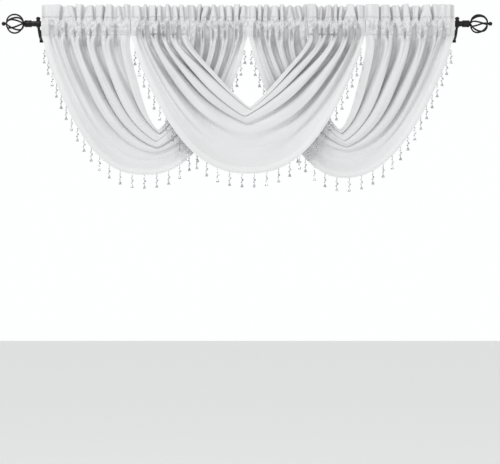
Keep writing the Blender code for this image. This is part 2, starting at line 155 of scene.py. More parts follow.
# How far the pocket stands out round the rod at shares of its height, as shares of its most
POCKET_LEVELS = (0, 0.2, 0.5, 0.66, 0.86, 1.0)
POCKET_ROUNDNESS = (0, 0.42, 0.93, 1.0, 0.62, 0.0)

# The gathers' valleys run into the pocket: how narrow they start, how they taper with height, and how soft
# their sides are, all as shares of a gather or of the pocket's height
HOLLOW_START = 0.22
HOLLOW_TAPER = 0.65
HOLLOW_TOP_TAPER = 2.5
HOLLOW_SIDE = 0.35
HOLLOW_TALLEST = (0.64, 0.18)
HOLLOW_SINK = 0.002

# How the cloth hangs below the heading
GATHER_FADE = 0.034
FOLD_GROWTH = 0.032
FOLD_FLAT = 0.78
FOLD_ROUND = 0.22
SETTLE_AT_EDGE = 0.018
SETTLE_MORE_AT_HEM = 0.022
ARM_BULGE = 1.1
ARM_LEAN = 0.05
BELLY_LEAN = 0.75
BELLY_PINCH = 0.40
BEHIND_FLATTENING = 0.35
TUCKED_EDGE = 0.30
POINT_SOFTNESS = 0.02
FLAT_EDGE = 0.05
FLAT_HEM = 0.13
HEM_BAND = 0.016
HEM_RISE = 0.0007
STITCH_DEPTH = 0.0006
STITCH_WIDTH = 0.0016
HEM_SOFTNESS = 0.0015
STREAK_DEPTH = 0.0016

# How far the belly comes forward at shares of the cloth's width, as shares of each swag's flare
FLARE_SHARES = (0.0, 0.45, 0.82, 1.0)
FLARE_LEVELS = (0.5, 0.6, -0.2, 1.0)

SHEET_COLUMNS = 220
SHEET_ROWS = 240

# Bead fringe
TAPE_LAP = 0.0035
TAPE_EDGE = 0.0053
TAPE_BACK = 0.0006
TAPE_THICKNESS = 0.0010
STRAND_PITCH = 0.040
STRAND_LENGTH = 0.047
THREAD_WIDTH = 0.0009
FRINGE_START = 0.045
STRAND_SWAY = 0.0018
THREAD_SEWN = 0.001
THREAD_IN_DROP = 0.008
BEAD_SIDES = 8

# The beads of one strand: depth under the tape, radius, height, and side shift as a share of the sway
STRAND_BEADS = ((0.0040, 0.0020, 0.0038, 0.0), (0.0090, 0.0020, 0.0038, 0.2), (0.0145, 0.0026, 0.0052, -0.7),
                (0.0220, 0.0037, 0.0086, 0.9), (0.0295, 0.0030, 0.0060, -0.8))

FOLD_COLUMNS = ("share", "left_x", "right_x", "low_x", "low_z", "point", "power", "arm_depth", "belly_depth",
                "floor", "wall", "belly_wall")

# A row for the inner edge, for each valley between the folds, and for the hem. The columns up to power are
# those of the solids' own tables. The others are the sheet's own: how deep the folds are on the arms and at
# the lowest point, how wide the valley and its sides are on the arms, and how wide the sides are at the
# lowest point, as shares of a fold.
LEFT_FOLDS = (
    (0.00, -0.3834, -0.1874, -0.293, -0.347, 0.25, 2.2, 0.006, 0.003, 0.06, 0.15, 0.30),
    (0.145, -0.432, -0.161, -0.287, -0.363, 0.37, 3.0, 0.021, 0.006, 0.17, 0.08, 0.22),
    (0.32, -0.489, -0.132, -0.300, -0.385, 0.35, 2.6, 0.023, 0.007, 0.18, 0.08, 0.22),
    (0.515, -0.539, -0.092, -0.297, -0.406, 0.22, 2.4, 0.026, 0.007, 0.20, 0.07, 0.32),
    (0.715, -0.594, -0.052, -0.313, -0.432, 0.06, 2.3, 0.017, 0.0012, 0.15, 0.18, 0.50),
    (0.888, -0.643, -0.019, -0.330, -0.464, 0.0, 2.35, 0.006, 0.0015, 0.02, 0.40, 0.50),
    (1.00, -0.6772, 0.0028, -0.336, -0.494, 0.0, 2.4, 0.003, 0.001, 0.02, 0.45, 0.50),
)
CENTRE_FOLDS = (
    (0.00, -0.1886, 0.1986, 0.009, -0.275, 0.70, 2.0, 0.005, 0.003, 0.05, 0.15, 0.25),
    (0.165, -0.224, 0.227, 0.013, -0.284, 0.70, 2.0, 0.018, 0.006, 0.14, 0.08, 0.20),
    (0.37, -0.260, 0.268, -0.009, -0.305, 0.60, 2.3, 0.022, 0.0075, 0.18, 0.08, 0.20),
    (0.55, -0.289, 0.307, 0.003, -0.335, 0.36, 2.1, 0.025, 0.0040, 0.20, 0.07, 0.42),
    (0.75, -0.328, 0.344, 0.004, -0.388, 0.10, 2.1, 0.021, 0.0014, 0.20, 0.12, 0.50),
    (0.89, -0.356, 0.369, 0.005, -0.440, 0.0, 2.25, 0.006, 0.001, 0.02, 0.35, 0.50),
    (1.00, -0.3822, 0.3888, 0.0055, -0.4905, 0.0, 2.4, 0.003, 0.001, 0.02, 0.45, 0.50),
)
RIGHT_FOLDS = (
    (0.00, 0.1974, 0.3900, 0.307, -0.346, 0.25, 2.1, 0.006, 0.003, 0.06, 0.15, 0.30),
    (0.15, 0.165, 0.436, 0.314, -0.363, 0.36, 2.8, 0.021, 0.006, 0.17, 0.08, 0.22),
    (0.34, 0.129, 0.489, 0.323, -0.383, 0.35, 2.6, 0.023, 0.007, 0.18, 0.08, 0.22),
    (0.56, 0.086, 0.551, 0.329, -0.402, 0.24, 2.4, 0.026, 0.007, 0.20, 0.07, 0.32),
    (0.75, 0.050, 0.604, 0.332, -0.426, 0.06, 2.3, 0.017, 0.0012, 0.15, 0.18, 0.50),
    (0.89, 0.026, 0.650, 0.326, -0.462, 0.0, 2.2, 0.004, 0.0015, 0.02, 0.40, 0.50),
    (1.00, 0.0040, 0.6840, 0.322, -0.504, 0.0, 2.15, 0.003, 0.001, 0.02, 0.45, 0.50),
)

# Where the narrow valleys between the heading's ruffles stand along the rod, for each swag's two headings.
RUFFLES = {
    "left": (
        (-0.606, -0.569, -0.535, -0.503, -0.468, -0.437, -0.412),
        (-0.167, -0.146, -0.120, -0.098, -0.073, -0.046, -0.020),
    ),
    "centre": (
        (-0.347, -0.327, -0.298, -0.275, -0.251, -0.227, -0.204),
        (0.236, 0.255, 0.283, 0.302, 0.324, 0.356),
    ),
    "right": (
        (0.033, 0.053, 0.076, 0.105, 0.128, 0.154, 0.181),
        (0.438, 0.474, 0.507, 0.539, 0.575, 0.607),
    ),
}

# forward_left and forward_right say how far in front of the rod's axis the two arms hang, and flare how much
# further the belly comes forward. behind is -1 or 1 where the left or the right arm hangs behind the centre
# swag, whose folds press that arm's own flatter, and its inner edge is drawn in under them. seed sets the
# swag's own creases, flat is the cloth's cut size in metres, and area is how much cloth it holds in square
# metres.
SWAGS = {
    "left": {"folds": LEFT_FOLDS, "forward_left": 0.006, "forward_right": -0.012, "flare": 0.016,
             "behind": 1, "seed": 3.0, "flat": (0.62, 1.30), "area": 0.55},
    "centre": {"folds": CENTRE_FOLDS, "forward_left": 0.028, "forward_right": 0.028, "flare": 0.014,
               "behind": 0, "seed": 11.0, "flat": (0.62, 1.30), "area": 0.55},
    "right": {"folds": RIGHT_FOLDS, "forward_left": -0.012, "forward_right": 0.006, "flare": 0.016,
              "behind": -1, "seed": 23.0, "flat": (0.62, 1.30), "area": 0.55},
}

# Camera and room
PHOTO_WIDTH = 500
PHOTO_FOCAL = 1455
SENSOR_WIDTH = 36.0
CAMERA_PLACE = (0.010, -4.88, -0.687)
FLOOR_HEIGHT = -2.10
FLOOR_REACH = 14.0
ROOM_LIGHT = 0.54
BACKDROP_LIGHT = 1.0
BACKDROP_EDGE = 0.6
LIT_PLACE = (0.0, 0.0, -0.2)

# Place, size and power of each light, in metres and watts
KEY_LIGHT = ((-1.3, -2.8, 2.5), 1.5, 60)
FILL_LIGHT = ((0.3, -3.6, -0.3), 2.4, 25)


# Meshes


class Net:
    """Collects the points and faces of one piece."""

    def __init__(self):
        self.points = []
        self.faces = []

    def add_row(self, row):
        """Adds a row of points and returns their numbers."""
        first = len(self.points)
        self.points.extend(tuple(map(float, point)) for point in row)
        return list(range(first, len(self.points)))

    def add_strip(self, a, b):
        """Fills the strip between two rows of points."""
        for k in range(len(a) - 1):
            self.add_cell(a[k], a[k + 1], b[k + 1], b[k])

    def add_cell(self, *corners):
        """Adds one face, unless too many of its corners are the same point."""
        corners = tuple(dict.fromkeys(corners))
        if len(corners) > 2:
            self.faces.append(corners)

    def finish(self, name, material, smooth=True, sharp_angle=50):
        """Makes the piece itself, of one material."""
        mesh = bpy.data.meshes.new(name)
        mesh.from_pydata(self.points, [], self.faces)
        mesh.validate()
        if smooth:
            mesh.shade_smooth()
            mesh.set_sharp_from_angle(angle=math.radians(sharp_angle))
        mesh.materials.append(material)
        obj = bpy.data.objects.new(name, mesh)
        bpy.context.scene.collection.objects.link(obj)
        return obj


def add_turned(net, profile, steps, centre=(0.0, 0.0, 0.0), axis="x", start=0.0):
    """Adds a closed body turned about an axis from (place, radius) pairs."""
    turns = [start + 2 * math.pi * k / steps for k in range(steps)]
    rings = []
    for place, radius in profile:
        if axis == "x":
            ring = [(place, radius * math.cos(a), radius * math.sin(a)) for a in turns]
        else:
            ring = [(radius * math.cos(a), radius * math.sin(a), place) for a in turns]
        if radius == 0:
            rings.append(net.add_row([np.add(centre, ring[0])]) * steps)
        else:
            rings.append(net.add_row([np.add(centre, point) for point in ring]))
    pairs = zip(rings, rings[1:] + rings[:1])
    for a, b in pairs:
        for k in range(steps):
            n = (k + 1) % steps
            net.add_cell(a[k], b[k], b[n], a[n])


def add_tube(net, path, side, width, thickness, sides):
    """Adds a closed rounded bar along a path, wide along side."""
    path = np.array(path, dtype=float)
    way = np.gradient(path, axis=0)
    way /= np.linalg.norm(way, axis=1, keepdims=True)
    across = side - way * (way * side).sum(axis=1, keepdims=True)
    across /= np.linalg.norm(across, axis=1, keepdims=True)
    upward = np.cross(way, across)
    wide = np.broadcast_to(width, len(path))[:, None] * across / 2
    thick = np.broadcast_to(thickness, len(path))[:, None] * upward / 2
    rows = []
    for k in range(sides):
        a = 2 * math.pi * k / sides
        c, s = math.cos(a), math.sin(a)
        rows.append(net.add_row(path + rounded(c) * wide + rounded(s) * thick))
    for here, there in zip(rows, rows[1:] + rows[:1]):
        net.add_strip(here, there)
    net.add_cell(*(row[0] for row in rows))
    net.add_cell(*(row[-1] for row in reversed(rows)))


def rounded(c):
    """A circle's coordinate pushed a little towards a square's."""
    return math.copysign(abs(c) ** 0.8, c)


# The curve that each fold follows


def ease(t):
    """Goes smoothly from 0 to 1 as t does, and stays there beyond."""
    t = np.clip(t, 0, 1)
    return t * t * (3 - 2 * t)


def smooth_through(knots, values, at):
    """A cubic through a table's rows that never swings past them."""
    step = np.diff(knots)
    slope = np.diff(values) / step
    before, after = slope[:-1], slope[1:]
    total = np.where(before + after == 0, 1, before + after)
    inner = np.where(before * after > 0, 2 * before * after / total, 0)
    tangent = np.concatenate([slope[:1], inner, slope[-1:]])
    cell = np.clip(np.searchsorted(knots, at, side="right") - 1, 0, len(step) - 1)
    t = (at - knots[cell]) / step[cell]
    width = step[cell]
    return (
        (2 * t**3 - 3 * t**2 + 1) * values[cell]
        + (t**3 - 2 * t**2 + t) * width * tangent[cell]
        + (3 * t**2 - 2 * t**3) * values[cell + 1]
        + (t**3 - t**2) * width * tangent[cell + 1]
    )


def fold_lines(swag, share):
    """Each table column, and the fold that each share lies on, at the given shares of the cloth's width."""
    table = np.array(swag["folds"])
    knots = table[:, 0]
    lines = {name: smooth_through(knots, table[:, k], share) for k, name in enumerate(FOLD_COLUMNS)}
    valleys = len(table) - 2
    fold = np.concatenate([[0.0], np.arange(valleys) + 0.5, [float(valleys)]])
    lines["fold"] = smooth_through(knots, fold, share)
    return lines


def hang_curve(line, share, along, behind):
    """Points from the left seam to the lowest point at 0.5 and to the right seam, evenly along each arm."""
    w = np.linspace(0, 1, 401)
    straight = np.sqrt(w**2 + POINT_SOFTNESS**2) - POINT_SOFTNESS
    height = line["point"] * straight / straight[-1] + (1 - line["point"]) * w ** line["power"]
    fullness = ARM_BULGE * (1 - share) * height**4 * (1 - height)
    z = line["low_z"] + (LOWER_SEAM - line["low_z"]) * height
    points = np.empty((len(along), 2))
    for side, seam_x, arm in ((-1, line["left_x"], along <= 0.5), (1, line["right_x"], along > 0.5)):
        tuck = ease(share / TUCKED_EDGE) if side == behind else 1
        bulge = 1 + fullness * tuck
        x = line["low_x"] + (seam_x - line["low_x"]) * w * bulge
        length = np.concatenate([[0.0], np.cumsum(np.hypot(np.diff(x), np.diff(z)))])
        place = np.abs(2 * along[arm] - 1) * length[-1]
        points[arm] = np.stack([np.interp(place, length, x), np.interp(place, length, z)], axis=1)
    return points


def surface_frame(points):
    """At each point of a surface, the way across the folds towards the hem, and the way out to the front."""
    along = np.gradient(points, axis=0)
    across = np.gradient(points, axis=1)
    out = np.cross(along, across)
    out /= np.linalg.norm(out, axis=2, keepdims=True)
    out *= -np.sign(out[:, :, 1:2])
    along /= np.linalg.norm(along, axis=2, keepdims=True)
    down = np.cross(out, along)
    down *= np.sign((down * across).sum(axis=2, keepdims=True))
    return down, out


def row_shares():
    """Shares along the folds, closer together at both seams and at the lowest point."""
    s = np.linspace(0, 1, SHEET_ROWS + 1)
    return s - 0.5 * np.sin(4 * math.pi * s) / (4 * math.pi)


# Gathers, folds and creases


def drift(x, y, seed):
    """A smooth wandering value between -1 and 1 over arrays x and y, the same on each run."""
    total = 0.0
    for k in range(1, 5):
        a = math.sin(12.9898 * (seed + k)) * 43758.5453
        turn = 2 * math.pi * (a - math.floor(a))
        waves = np.sin(k**0.7 * x + math.sin(k + seed) * y + turn)
        total = total + waves * np.cos(0.6 * k * y - x * 0.37 + 2 * turn)
    return total / 2.4


def wander(x, frequency, seed):
    """A smooth wandering value along the rod."""
    return drift(frequency * x, np.zeros_like(x), seed)


def uneven(mean, spread, turn):
    """A value about its mean that differs from one place to the next."""
    return mean + spread * math.sin(turn)


def rough(x, y, seed):
    """Crumpled noise over arrays x and y, from -1 to 1, with sharp ridges."""
    flat = [noise.noise(Vector((a, b, seed))) for a, b in zip(x.ravel(), y.ravel())]
    return 1 - 2.4 * np.abs(np.array(flat)).reshape(x.shape)


def pleats(x, valleys, floor, wall):
    """1 on the ruffles and 0 in the valleys between them, some of which are wider than others."""
    height = np.ones_like(x)
    for valley in valleys:
        own = uneven(1, VALLEY_SPREAD, 700 * valley)
        past = (np.abs(x - valley) - floor * own) / (wall * own)
        height = np.minimum(height, STEEP_SHARE * ease(past) + GENTLE_SHARE * ease(past / GENTLE_WIDTH))
    return height


def seam_valleys(swag, side):
    """The gathers' valleys at the lower seam: the folds' own, with a shallower one between each two."""
    xs = [row[1 + side] for row in swag["folds"]]
    return xs[1:-1], [(a + b) / 2 for a, b in zip(xs[1:-2], xs[2:-1])]


def pucker_lines(swag, side_name, side):
    """Short creases that fan out from the gathers of both seams: x and z of both ends, and the rise."""
    lines = []
    deep, shallow = seam_valleys(swag, side)
    for seam_z, way, valleys in ((UPPER_SEAM, -1, RUFFLES[side_name][side]), (LOWER_SEAM, 1, deep + shallow)):
        for valley in valleys:
            for lean, rise in CREASE_FAN:
                turn = 900 * valley + 2.1 * lean + way
                length = uneven(*CREASE_LENGTH, 1.7 * turn)
                slope = uneven(*CREASE_SLOPE, 3.1 * turn)
                start = uneven(*CREASE_START, 2.3 * turn)
                end = valley + lean * (start + slope * length)
                lines.append((valley + lean * start, seam_z, end, seam_z + way * length, rise))
    return lines


def crease_height(lines, x, height):
    """How far the creases stand up, or sink, at each x, at one height: 1 on a high crease's own line."""
    high, deep = np.zeros_like(x), np.zeros_like(x)
    for x0, z0, x1, z1, rise in lines:
        way = np.array((x1 - x0, z1 - z0))
        length = math.hypot(*way)
        place = np.clip(((x - x0) * way[0] + (height - z0) * way[1]) / length**2, 0, 1)
        away = np.hypot(x - x0 - place * way[0], height - z0 - place * way[1])
        crease = rise * np.exp(-away / CREASE_WIDTH) * (1 - place) ** 0.4
        high, deep = np.maximum(high, crease), np.minimum(deep, crease)
    return high + deep


def shirring(x, share, from_seam, seed):
    """The fine creases that run out from a gathered seam."""
    near = np.exp(-from_seam / SHIRRING_FADE) * ease(from_seam / SHIRRING_START)
    level = np.broadcast_to(22 * from_seam, x.shape)
    return SHIRRING * near * rough(150 * x, level, seed) * ends_of(share)


def ends_of(share):
    """Fades the gathers out at the inner edge and on the flat tab beside the hem."""
    return ease(share / FLAT_EDGE) * ease((1 - share) / FLAT_HEM)


def seam_wave(swag, x, share, side):
    """The gathers where the arm leaves the lower seam, from -1 in a valley to 1 on a ridge."""
    deep, shallow = seam_valleys(swag, side)
    height = pleats(x, deep, *DEEP_VALLEY)
    gentle = SHALLOW_LEVEL + (1 - SHALLOW_LEVEL) * pleats(x, shallow, *SHALLOW_VALLEY)
    height = np.minimum(height, gentle)
    return (2 * height - 1) * ends_of(share)


def seam_offset(wave):
    """How far a seam's gathers stand out: the ridges further than the valleys sink."""
    return SEAM_RUFFLE * wave + RIDGE_LIFT * np.maximum(wave, 0)


def crest_line(side_name, x, side):
    """Height of the heading's top: each ruffle stands at its own height, and the valleys lie lower."""
    valleys = RUFFLES[side_name][side]
    seed = SWAGS[side_name]["seed"]
    height = pleats(x, valleys, 0.0, CREST_VALLEY)
    number = np.searchsorted(np.sort(valleys), x)
    own = CREST_WANDER * np.sin(2.4 * number + seed + 3 * side)
    tilt = CREST_TILT * wander(x, 90, seed + 2)
    return HEADING_TOP + (own + tilt) * height - CREST_DIP * (1 - height)


def fold_profile(turn, floor, wall):
    """Height of the folds from -1 in a valley to 1 on a ridge; floor and wall widen the valleys."""
    from_valley = np.abs(turn % 1 - 0.5)
    plateau = 2 * ease((from_valley - floor) / wall) - 1
    return FOLD_FLAT * plateau - FOLD_ROUND * np.cos(2 * math.pi * from_valley)


def base_surface(swag, lines, share, along):
    """The cloth below the lower seam without its folds, as rows along them and columns across them."""
    base = np.empty((len(along), len(share), 3))
    for k in range(len(share)):
        line = {name: values[k] for name, values in lines.items()}
        base[:, k, [0, 2]] = hang_curve(line, share[k], along, swag["behind"])
    side = (2 * along - 1)[:, None]
    belly = np.cos(side * math.pi / 2) ** 2
    drop = LOWER_SEAM - base[:, :, 2]
    settle = 1 - np.exp(-drop / (SETTLE_AT_EDGE + SETTLE_MORE_AT_HEM * share))
    left, right = swag["forward_left"], swag["forward_right"]
    forward = (left + right) / 2 + (right - left) / 2 * np.sin(side * math.pi / 2)
    recess = np.interp(share, FLARE_SHARES, FLARE_LEVELS)
    base[:, :, 1] = -ROD_TO_WALL - settle * forward - belly * swag["flare"] * recess
    return base


def streaks(swag, share, side, belly, drop):
    """Soft waves along the cloth, between its folds: long ones, and finer ones on the arms."""
    long = drift(34 * share[None, :], 5.0 * side, swag["seed"]) * (1 - 0.75 * belly) * ease(drop / 0.05)
    return long + 0.5 * drift(75 * share[None, :], 7.0 * side, swag["seed"] + 5) * (1 - belly)


def arm_gathers(swag, lines, share, side, drop):
    """The lower seam's gathers, which fade out down the arms, and apart from them their fine creases."""
    waves = np.where(
        side < 0,
        seam_wave(swag, lines["left_x"], share, 0),
        seam_wave(swag, lines["right_x"], share, 1),
    )
    seam_x = np.where(side < 0, lines["left_x"][None, :], lines["right_x"][None, :])
    fine = shirring(seam_x, share[None, :], np.maximum(drop, 0), swag["seed"] + 31)
    return seam_offset(waves) * np.exp(-drop / GATHER_FADE), fine


def hanging_surface(side_name, share, along):
    """The swag's cloth below the lower seam as rows along the folds and columns across them."""
    swag = SWAGS[side_name]
    lines = fold_lines(swag, share)
    base = base_surface(swag, lines, share, along)
    side = (2 * along - 1)[:, None]
    belly = np.cos(side * math.pi / 2) ** 2
    low = belly**2
    drop = LOWER_SEAM - base[:, :, 2]
    depth = ease(drop / FOLD_GROWTH) * ((1 - low) * lines["arm_depth"] + low * lines["belly_depth"])
    depth = depth * (1 - BEHIND_FLATTENING * ease(2 * side * swag["behind"]))
    wall = (1 - low) * lines["wall"] + low * lines["belly_wall"]
    fold = fold_profile(lines["fold"][None, :], (1 - low) * lines["floor"], wall)
    gather, fine = arm_gathers(swag, lines, share, side, drop)
    streak = streaks(swag, share, side, belly, drop)
    out = depth * fold + gather + fine + STREAK_DEPTH * streak * ends_of(share)
    lean = (1 - belly) * ARM_LEAN + belly * BELLY_LEAN
    across = depth * (lean * fold + belly * BELLY_PINCH * np.sin(2 * math.pi * lines["fold"]))
    down, outward = surface_frame(base)
    points = base + out[:, :, None] * outward + across[:, :, None] * down
    return add_hem_band(points)


def from_hem(points):
    """Distance of each point from the hem, across the folds."""
    steps = np.linalg.norm(np.diff(points, axis=1), axis=2)
    return np.concatenate([np.cumsum(steps[:, ::-1], axis=1)[:, ::-1], np.zeros((len(points), 1))], axis=1)


def add_hem_band(points):
    """Lifts the turned-up hem a little, with a stitched groove along its upper edge."""
    _, outward = surface_frame(points)
    distance = from_hem(points)
    band = HEM_RISE * (1 - ease((distance - HEM_BAND) / HEM_SOFTNESS))
    groove = STITCH_DEPTH * np.exp(-(((distance - HEM_BAND) / STITCH_WIDTH) ** 2))
    return points + (band - groove)[:, :, None] * outward


class Heading:
    """The gathered heading over one arm; x and share are each column's place on the rod and in the cloth."""

    def __init__(self, side_name, x, share, side):
        self.side_name, self.x, self.share, self.side = side_name, x, share, side
        self.swag = SWAGS[side_name]
        self.seed = self.swag["seed"] + 40 * side
        self.ends = ends_of(share)
        self.crest = crest_line(side_name, x, side)
        self.low = seam_wave(self.swag, x, share, side)
        self.top = self.ruffles(0.0)
        self.creases = pucker_lines(self.swag, side_name, side)
        self.stray = SEAM_STRAY * wander(x, 120, self.seed + 13) * self.ends
        self.shown = 1 - SEAM_HIDDEN * self.ends * ease(0.5 + 1.5 * wander(x, 210, self.seed + 17))

    def ruffles(self, t):
        """The ruffles from the upper seam at 0, where they slant, to the top at 1, with wider valleys."""
        slid = self.x + HEADING_SLANT * (1 - t) * wander(self.x, 34, self.seed + 9)
        floor, wall = RUFFLE_VALLEY
        height = pleats(slid, RUFFLES[self.side_name][self.side], floor + RUFFLE_OPENING * t, wall)
        sway = RUFFLE_SWAY * wander(slid, 120, self.swag["seed"] + self.side)
        wave = (2 * height - 1) * ease((1 - self.share) / RUFFLE_FLAT_HEM)
        return wave * ease(self.share / RUFFLE_FLAT_EDGE) + sway

    def hollow(self, t):
        """How far the pocket sinks in, from 0 to 1, in the valleys that run into it from both seams."""
        mean, spread = HOLLOW_TALLEST
        tallest = mean + spread * np.sin(160 * self.x + self.seed)
        rising = ease(((1 - self.low) / 2 - HOLLOW_START - HOLLOW_TAPER * t) / HOLLOW_SIDE)
        falling = ease(((1 - self.top) / 2 - HOLLOW_TOP_TAPER * (1 - t)) / HOLLOW_SIDE)
        return np.maximum(rising * ease((tallest - t) / 0.25), falling * ease((t - 0.83) / 0.12)) * self.ends

    def crumple(self, t, height):
        """The pocket's puckers and creases."""
        puckers = PUCKER * rough(self.x * 75, np.full_like(self.x, 3.4 * t), self.seed) * self.ends
        puckers = puckers * math.sin(math.pi * t) ** 0.6
        puckers = puckers + CREASE_HEIGHT * crease_height(self.creases, self.x, height) * self.ends
        return puckers + shirring(self.x, self.share, UPPER_SEAM - height, self.seed + 5)

    def pocket_row(self, t):
        """The pocket's front and back at a share of the way from the lower seam to the upper one."""
        height = LOWER_SEAM + t * (UPPER_SEAM - LOWER_SEAM)
        upward = ease((t - 0.45) / 0.55)
        wave = (1 - upward) * self.low + upward * self.top
        belly = smooth_through(np.array(POCKET_LEVELS), np.array(POCKET_ROUNDNESS), np.array([t]))[0]
        radius = ROD_DIAMETER / 2 + POCKET_REACH
        crumple = self.crumple(t, height)
        hollow = self.hollow(t)
        seam = seam_offset(wave) * (1 - belly)
        front = radius * belly + POCKET_RUFFLE * belly * (1 + wave)
        front = (front + crumple) * (1 - hollow) + seam
        front = front - HOLLOW_SINK * hollow * ease(t / 0.1) * ease((1 - t) / 0.1)
        front = front - self.shown * groove(height)
        back = radius * belly + POCKET_RUFFLE * belly * (1 - wave) - seam - 0.5 * crumple
        strayed = height + self.stray * ease(1.4 * t)
        rod = np.sqrt(np.maximum(ROD_CLEARANCE**2 - strayed**2, 0))
        front_least = PLY_GAP / 2 + np.where(rod > 0, rod, np.minimum(seam, 0))
        back_least = PLY_GAP / 2 + np.where(rod > 0, rod, -np.maximum(seam, 0))
        return (
            row(self.x, np.maximum(front, front_least), strayed),
            row(self.x, -np.maximum(back, back_least), strayed),
        )

    def ruffle_row(self, t):
        """The ruffle's front and back at a share of the way from the upper seam to the crest."""
        height = UPPER_SEAM + t * (self.crest - PLY_GAP - UPPER_SEAM)
        top = self.ruffles(t)
        stand = ease(1.4 * t)
        wave = seam_offset(top) * (1 - stand) + HEADING_RUFFLE * top * stand
        puff = PLY_GAP * (0.5 + 0.9 * math.sin(math.pi * t))
        tucks = shirring(self.x, self.share, height - UPPER_SEAM, self.seed + 7) * (1 - stand)
        strayed = height + self.stray * (1 - t)
        front = wave + puff - self.shown * groove(height) + tucks
        return row(self.x, front, strayed), row(self.x, wave - puff, strayed)

    def surface(self):
        """Rows from the back of the lower seam, over the crest, to the front of the lower seam."""
        even = np.linspace(0, 1, POCKET_ROWS + 1)
        pocket_shares = 0.5 * even + 0.25 - 0.25 * np.cos(math.pi * even)
        ruffle_shares = np.linspace(0, 1, HEADING_ROWS + 1)[1:] ** 1.5
        plies = [self.pocket_row(t) for t in pocket_shares] + [self.ruffle_row(t) for t in ruffle_shares]
        front = [ply[0] for ply in plies]
        back = [ply[1] for ply in plies]
        ridge = row(self.x, HEADING_RUFFLE * self.ruffles(1.0), self.crest)
        return np.array(back + [ridge] + front[::-1])


def groove(height):
    """How deep the two seams' stitches pull the front in at a height."""
    nearest = np.minimum(np.abs(height - UPPER_SEAM), np.abs(height - LOWER_SEAM))
    return SEAM_GROOVE * np.exp(-((nearest / GROOVE_WIDTH) ** 2))


def row(x, forward, height):
    """Points along the rod at a distance in front of its axis, and at a height."""
    return np.stack([x, -ROD_TO_WALL - forward, np.broadcast_to(height, x.shape)], axis=1)


def make_swag(side_name, material):
    """One swag as one sheet: up one heading's back, over its crest, down the arm, and up the other arm."""
    share = np.linspace(0, 1, SHEET_COLUMNS + 1)
    hanging = hanging_surface(side_name, share, row_shares())
    left = blend_seam(Heading(side_name, hanging[0, :, 0], share, 0).surface(), hanging[0])
    right = blend_seam(Heading(side_name, hanging[-1, :, 0], share, 1).surface(), hanging[-1])
    points = np.concatenate([left[:-1], hanging, right[:-1][::-1]])
    net = Net()
    rows = [net.add_row(line) for line in points]
    for upper, lower in zip(rows, rows[1:]):
        net.add_strip(upper, lower)
    obj = net.finish(side_name + "_swag_cloth", material, sharp_angle=180)
    add_cloth_map(obj, points, SWAGS[side_name]["flat"])
    return obj, points


def blend_seam(heading, seam):
    """Carries the last rows of the heading's front onto the row where the arm starts."""
    shift = seam - heading[-1]
    for k in range(SEAM_BLEND_ROWS):
        heading[-1 - k] += shift * ease(np.array(1 - k / SEAM_BLEND_ROWS))
    return heading


def below_seams(points):
    """The part of a swag's rows, or of its values in rows, that hangs below the lower seam."""
    return points[ROWS_ABOVE_ARM : len(points) - ROWS_ABOVE_ARM]


def add_cloth_map(obj, points, flat):
    """A map in metres of cloth, and how near each point is to the hem."""
    rows, columns = points.shape[:2]
    steps = np.linalg.norm(np.diff(points[:, columns // 2], axis=0), axis=1)
    along = np.concatenate([[0.0], np.cumsum(steps)])
    across = np.linspace(0, flat[0], columns)
    grid = np.stack(np.meshgrid(across, along), axis=2).reshape(-1, 2)
    loops = np.empty(len(obj.data.loops), np.int32)
    obj.data.loops.foreach_get("vertex_index", loops)
    layer = obj.data.uv_layers.new(name="cloth")
    layer.data.foreach_set("uv", grid[loops].astype(np.float32).ravel())
    near = np.zeros((rows, columns))
    below_seams(near)[:] = 1 - ease((from_hem(below_seams(points)) - HEM_BAND) / HEM_SOFTNESS)
    attribute = obj.data.attributes.new("hem_band", "FLOAT", "POINT")
    attribute.data.foreach_set("value", near.astype(np.float32).ravel())


# Bead fringe


def make_fringe(side_name, points, tape_material, bead_material):
    """A woven tape sewn behind the hem, and bead strands that hang from it."""
    hanging = below_seams(points)
    past, outward = surface_frame(hanging)
    line, past, outward = hanging[:, -1], past[:, -1], outward[:, -1]
    length = np.concatenate([[0.0], np.cumsum(np.linalg.norm(np.diff(line, axis=0), axis=1))])
    ribbon = make_tape(side_name, line, past, outward, length, tape_material)
    strands = make_strands(side_name, line, past, length, bead_material)
    return ribbon, strands


def make_tape(side_name, line, past, outward, length, material):
    """The tape: past is the way beyond the hem's line, and outward the way to the cloth's front."""
    kept = (length > FRINGE_START) & (length < length[-1] - FRINGE_START)
    front, behind = -TAPE_BACK, -TAPE_BACK - TAPE_THICKNESS
    net = Net()
    rows = []
    for reach, face in ((-TAPE_LAP, front), (TAPE_EDGE, front), (TAPE_EDGE, behind), (-TAPE_LAP, behind)):
        rows.append(net.add_row(line[kept] + reach * past[kept] + face * outward[kept]))
    for here, there in zip(rows, rows[1:] + rows[:1]):
        net.add_strip(here, there)
    net.add_cell(*(edge[0] for edge in rows))
    net.add_cell(*(edge[-1] for edge in reversed(rows)))
    return net.finish(side_name + "_fringe_tape", material, sharp_angle=40)


def make_strands(side_name, line, past, length, material):
    """The bead strands, at an even pitch along the tape."""
    span = length[-1] - 2 * FRINGE_START
    count = int(span / STRAND_PITCH) + 1
    first = (length[-1] - (count - 1) * STRAND_PITCH) / 2
    net = Net()
    for k in range(count):
        place = first + k * STRAND_PITCH
        top = np.array([np.interp(place, length, line[:, axis]) for axis in range(3)])
        way = np.array([np.interp(place, length, past[:, axis]) for axis in range(3)])
        add_strand(net, top + way * (TAPE_EDGE - THREAD_SEWN), k + SWAGS[side_name]["seed"])
    return net.finish(side_name + "_bead_strands", material, smooth=False)


